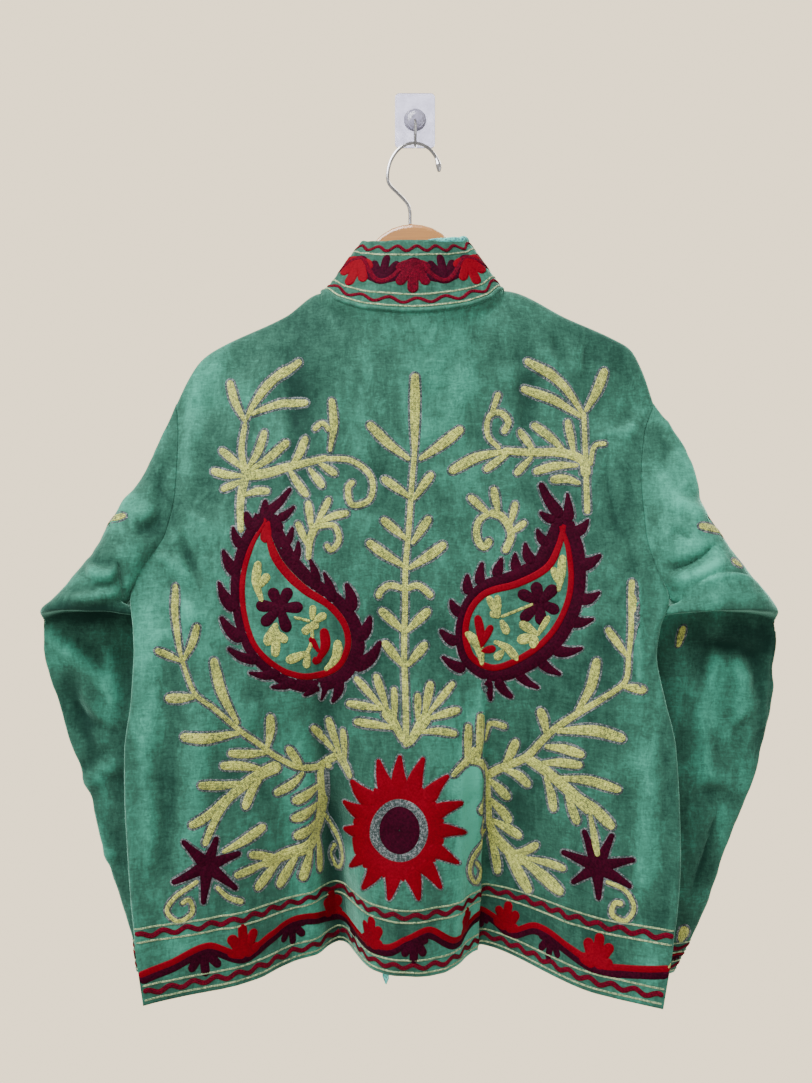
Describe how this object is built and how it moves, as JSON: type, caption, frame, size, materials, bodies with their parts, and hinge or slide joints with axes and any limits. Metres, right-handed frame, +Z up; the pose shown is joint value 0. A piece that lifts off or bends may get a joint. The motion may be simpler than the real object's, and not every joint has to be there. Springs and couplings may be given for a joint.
{
  "type": "embroidered jacket on a hanger and wall hook",
  "caption": "Hip-length velvet jacket with stand collar and bordered hem, hung by a wooden hanger from a small adhesive wall hook, cloth as it hangs",
  "frame": {"origin": "middle of the back face of the wall hook's adhesive plate, on the wall", "axes": "+Y out of the plate's back face into the wall, +Z up, +X to the right as one faces the wall"},
  "size_m": [0.7745, 0.1589, 1.0075],
  "materials": {
    "velvet": "crushed pile",
    "border_velvet": "crushed pile",
    "wood": "varnished",
    "steel": "polished",
    "clear_plastic": "clear plastic"
  },
  "bodies": {
    "root": {"back": "velvet", "front_left": "velvet", "front_right": "velvet", "sleeve_left": "velvet", "sleeve_right": "velvet", "stand_collar": "border_velvet", "hem_tab": "border_velvet", "hanger_bar": "wood", "hanger_hook": "steel", "wall_plate": "clear_plastic", "hook_boss": "clear_plastic", "wall_hook": "steel"}
  },
  "joints": []
}
